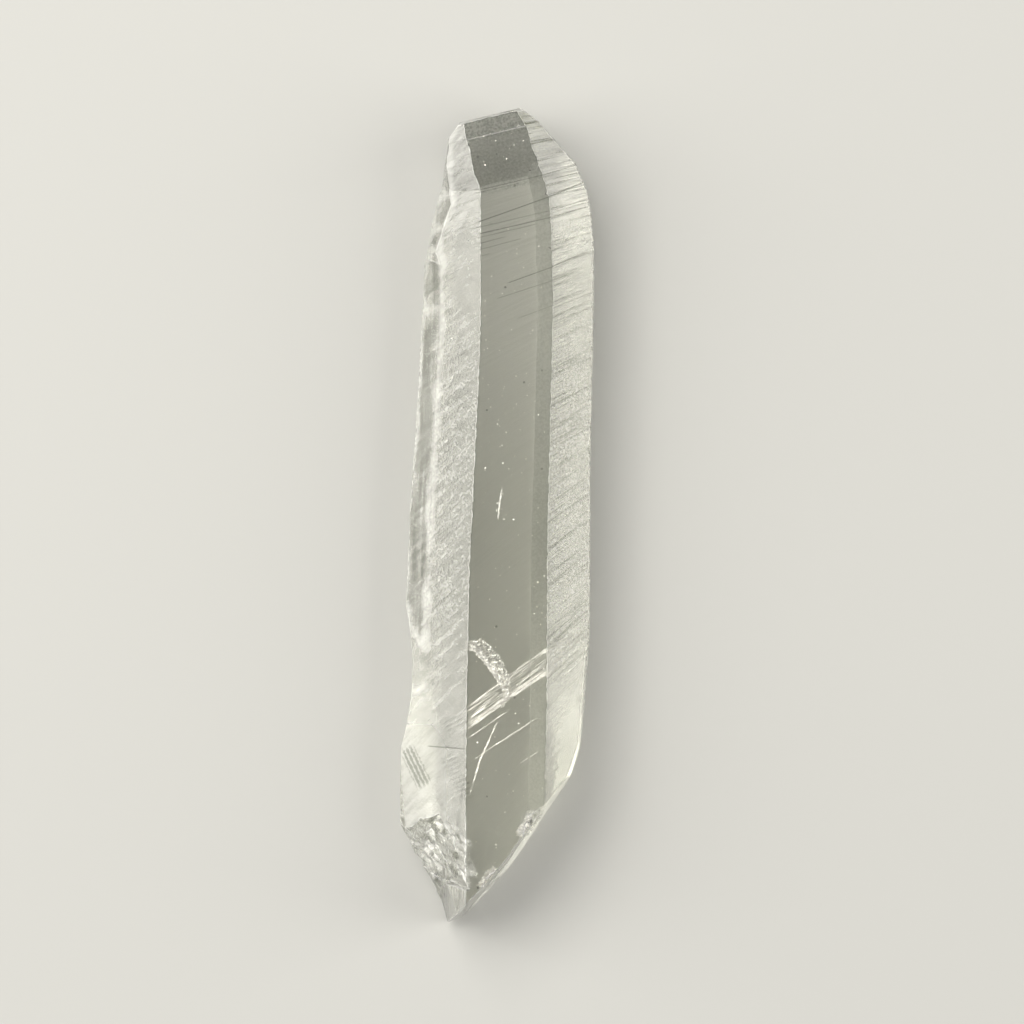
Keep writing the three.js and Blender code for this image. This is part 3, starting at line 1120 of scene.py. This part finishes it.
def ribbon(path, amounts, depth):
    path = np.array(path, dtype=float)
    lengths = np.hypot(*np.diff(path[:, :2], axis=0).T)
    stations = np.concatenate([[0], np.cumsum(lengths)])
    steps = np.linspace(0, stations[-1], max(2, int(stations[-1] / RIBBON_STEP)))
    x, y, half = (np.interp(steps, stations, path[:, column]) for column in range(3))
    heading = np.column_stack([np.gradient(x), np.gradient(y)])
    heading /= np.linalg.norm(heading, axis=1, keepdims=True)
    corners = []
    for across in np.linspace(1, -1, len(amounts)):
        for i in range(len(steps)):
            at_x = x[i] - heading[i, 1] * half[i] * across
            at_y = y[i] + heading[i, 0] * half[i] * across
            hit = skin.ray_cast(Vector((at_x, at_y, size.z + 1)), DOWN)[0]
            corners.append((at_x, at_y, (hit.z if hit else size.z / 2) - depth))
    count = len(steps)
    quads = [
        (row * count + i, (row + 1) * count + i, (row + 1) * count + i + 1, row * count + i + 1)
        for row in range(len(amounts) - 1)
        for i in range(count - 1)
    ]
    return corners, quads, np.repeat(amounts, count)

# %% Join the ribbons of one crack
def guide(name, ribbons):
    corners, quads, amount = [], [], []
    for path, amounts, depth in ribbons:
        new_corners, new_quads, new_amount = ribbon(path, amounts, depth)
        quads.extend(tuple(len(corners) + i for i in quad) for quad in new_quads)
        corners.extend(new_corners)
        amount.extend(new_amount)
    mesh = bpy.data.meshes.new(name)
    mesh.from_pydata(np.array(corners) * MM, [], quads)
    mesh.attributes.new("amount", "FLOAT", "POINT").data.foreach_set("value", amount)
    piece = bpy.data.objects.new(name, mesh)
    scene.collection.objects.link(piece)
    return piece

# %% [markdown]
# ## Flakes
# A flake is a six-sided plate, which the silky veil draws out to a needle. The flakes of a crack turn
# nearly the same way, unless its spread is wide, and each rolls a few degrees out of the level, so that
# it mirrors a lamp. The amount on the ribbon says where they lie more densely. The real channels mirror
# light almost wholly, so the finish of the flakes is metallic.

# %% Inputs of the flakes
FLAKE_INPUTS = ("Per Square Mm", "Length", "Width", "Turn", "Spread", "Roll")

flakes = bpy.data.node_groups.new("flakes", "GeometryNodeTree")
flakes.is_modifier = True
group_input(flakes, "Geometry", "NodeSocketGeometry")
for label in FLAKE_INPUTS:
    group_input(flakes, label, "NodeSocketFloat", 1.0)
group_input(flakes, "Seed", "NodeSocketInt", 1)
group_input(flakes, "Material", "NodeSocketMaterial")
flakes.interface.new_socket("Geometry", in_out="OUTPUT", socket_type="NodeSocketGeometry")
given = add(flakes, "NodeGroupInput").outputs
print("the flakes take", ", ".join(FLAKE_INPUTS))

# %% Turn and size of a flake
ROLL_SPREAD = 0.35
NOD = math.radians(3)
SMALLEST = 0.35
LARGEST = 1.6
THICKNESS_SHARE = 0.5


def angles(sign):
    turn = calculate(flakes, "MULTIPLY_ADD", given["Spread"], sign, given["Turn"])
    turn = calculate(flakes, "RADIANS", turn)
    roll = calculate(flakes, "MULTIPLY", given["Roll"], 1 + ROLL_SPREAD * sign)
    roll = calculate(flakes, "RADIANS", roll)
    return add(flakes, "ShaderNodeCombineXYZ", {0: roll, 1: NOD * sign, 2: turn}).outputs[0]


turns = {0: angles(-1.0), 1: angles(1.0), "Seed": given["Seed"]}
turned = add(flakes, "FunctionNodeRandomValue", turns, data_type="FLOAT_VECTOR")
scales = {2: SMALLEST, 3: LARGEST, "Seed": given["Seed"]}
scale = add(flakes, "FunctionNodeRandomValue", scales, data_type="FLOAT").outputs[1]
thickness = calculate(flakes, "MULTIPLY", given["Width"], THICKNESS_SHARE)
sides = add(flakes, "ShaderNodeCombineXYZ", {0: given["Length"], 1: given["Width"], 2: thickness})
sides = scaled(flakes, scaled(flakes, sides.outputs[0], MM), scale)

# %% Scatter the flakes
density = calculate(flakes, "MULTIPLY", given["Per Square Mm"], 1 / MM**2)
density = calculate(flakes, "MULTIPLY", density, named(flakes, "amount"))
sites = add(flakes, "GeometryNodeDistributePointsOnFaces", {
    "Mesh": given["Geometry"], "Density": density, "Seed": given["Seed"]})
flake = add(flakes, "GeometryNodeMeshCylinder", {"Vertices": 6, "Radius": 0.5, "Depth": 1.0})
placed = add(flakes, "GeometryNodeInstanceOnPoints", {
    "Points": sites.outputs["Points"], "Instance": flake.outputs["Mesh"],
    "Rotation": turned.outputs[0], "Scale": sides})
solid_flakes = add(flakes, "GeometryNodeRealizeInstances", {"Geometry": placed.outputs[0]})
finished = add(flakes, "GeometryNodeSetMaterial", {
    "Geometry": solid_flakes.outputs[0], "Material": given["Material"]})
add(flakes, "NodeGroupOutput", {"Geometry": finished.outputs[0]})
print(len(flakes.nodes), "nodes scatter the flakes")

# %% Healed crack material
DULL_MILK = (0.80, 0.78, 0.72, 1)
BRIGHT_MILK = (0.97, 0.96, 0.92, 1)

healed = bpy.data.materials.new("healed_crack")
healed.use_nodes = True
tree = healed.node_tree
milky = tree.nodes["Principled BSDF"]
flecks = effect(grain_group, {
    "Place": add(tree, "ShaderNodeTexCoord").outputs["Object"], "Size": 0.3, "Contrast": 3.0})
milk = add(tree, "ShaderNodeMix", {0: flecks, 6: DULL_MILK, 7: BRIGHT_MILK}, data_type="RGBA")
tree.links.new(milk.outputs[2], milky.inputs["Base Color"])
milky.inputs["Roughness"].default_value = 0.35
milky.inputs["Metallic"].default_value = 1.0
print(healed.name, "is ready")

# %% [markdown]
# ## Place the healed cracks
# Each crack has one or more ribbons. A ribbon is a path of x, y and half width, then the amounts of
# flakes from its one side to the other, and last its depth under the skin.

# %% Paths of the cracks
VEIL = [
    ([(-2.9, -19.9, 0.95), (0.9, -17.0, 1.0), (5.0, -14.15, 1.15)], (0.8, 0.25, 0.2, 0.5, 1.9), 0.8),
    ([(-2.9, -21.8, 0.06), (0.5, -19.5, 0.06)], (0.7, 0.7), 0.5),
    ([(-2.1, -23.7, 0.05), (3.4, -20.2, 0.05)], (0.45, 0.45), 0.6),
    ([(2.8, -23.9, 0.05), (4.7, -22.5, 0.05)], (0.5, 0.5), 0.6),
]
VEIL_END = [([(5.0, -14.0, 1.0), (8.3, -11.5, 0.4)], (0.9, 0.3, 0.2, 0.3, 0.9), 0.45)]
CRESCENT_PATH = [
    (-2.9, -12.7, 0.35),
    (-1.7, -12.7, 0.75),
    (-0.3, -14.2, 0.8),
    (0.7, -16.0, 0.6),
    (1.1, -17.4, 0.35),
    (0.5, -18.7, 0.15),
]
CRESCENT = [(CRESCENT_PATH, (0.5, 0.3, 0.4, 0.8, 2.2), 0.7)]
CRACK_PATH = [(0.0, -20.3, 0.03), (-0.95, -22.45, 0.07), (-1.55, -23.7, 0.06), (-2.6, -27.2, 0.03)]
CRACK = [(CRACK_PATH, (0.8, 1.1, 0.8), 0.6)]
SCRATCH = [
    ([(0.55, 2.75, 0.03), (0.25, 0.9, 0.08), (0.15, -0.2, 0.04)], (1.0, 1.0), 0.06),
    ([(0.25, 0.9, 0.03), (-0.05, 0.5, 0.02)], (1.0, 1.0), 0.06),
]
CRUMBS = [
    ([(3.3, -29.5, 0.2), (2.85, -30.3, 0.42), (2.1, -31.3, 0.3)], (1.0, 1.0, 1.6), 0.2),
    ([(-0.2, -34.5, 0.2), (-0.9, -35.3, 0.35), (-1.7, -36.3, 0.2)], (1.0, 1.0, 1.6), 0.2),
]
DASH = [([(-2.35, -19.6, 0.03), (-1.15, -18.75, 0.05)], (1.0, 1.0), 0.10)]
LONG_PATH = [(-0.6, -34.0, 1.6), (1.2, -26.0, 3.4), (1.6, 0.0, 3.6), (1.8, 31.0, 2.6)]
PINPOINTS = [
    (LONG_PATH, (0.75, 0.75, 0.75), 0.12),
    ([(0.6, 34.5, 2.6), (0.0, 38.0, 2.3)], (2.5, 2.5, 2.5), 0.12),
    ([(-1.14, 4.45, 0.08), (-1.14, 4.75, 0.08)], (150.0, 150.0), 0.10),
]

# %% Lay the flakes
HEALED = {  # ribbons, flakes per square mm, length, width, turn, spread, roll
    "silky_veil": (VEIL, 22.0, 1.9, 0.024, 35.0, 1.5, -7.0),
    "veil_end": (VEIL_END, 60.0, 0.7, 0.030, 33.0, 1.5, -9.0),
    "crescent": (CRESCENT, 190.0, 0.22, 0.06, 0.0, 180.0, 12.0),
    "crumbs": (CRUMBS, 110.0, 0.30, 0.09, 0.0, 180.0, 14.0),
    "white_crack": (CRACK, 130.0, 0.30, 0.045, 65.0, 25.0, -14.0),
    "scratch": (SCRATCH, 200.0, 0.35, 0.045, 98.0, 6.0, -15.0),
    "bright_dash": (DASH, 120.0, 0.50, 0.06, 36.0, 4.0, -11.0),
    "pinpoints": (PINPOINTS, 0.45, 0.11, 0.10, 0.0, 180.0, 12.0),
}


def set_input(modifier, name, value):
    modifier[modifier.node_group.interface.items_tree[name].identifier] = value


for name, (ribbons, *sizes) in HEALED.items():
    piece = guide(name, ribbons)
    modifier = piece.modifiers.new("flakes", "NODES")
    modifier.node_group = flakes
    for label, value in zip(FLAKE_INPUTS, sizes):
        set_input(modifier, label, value)
    set_input(modifier, "Material", healed)
    applied(piece)
    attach(piece, "root")
    print(name, len(piece.data.polygons), "triangles")
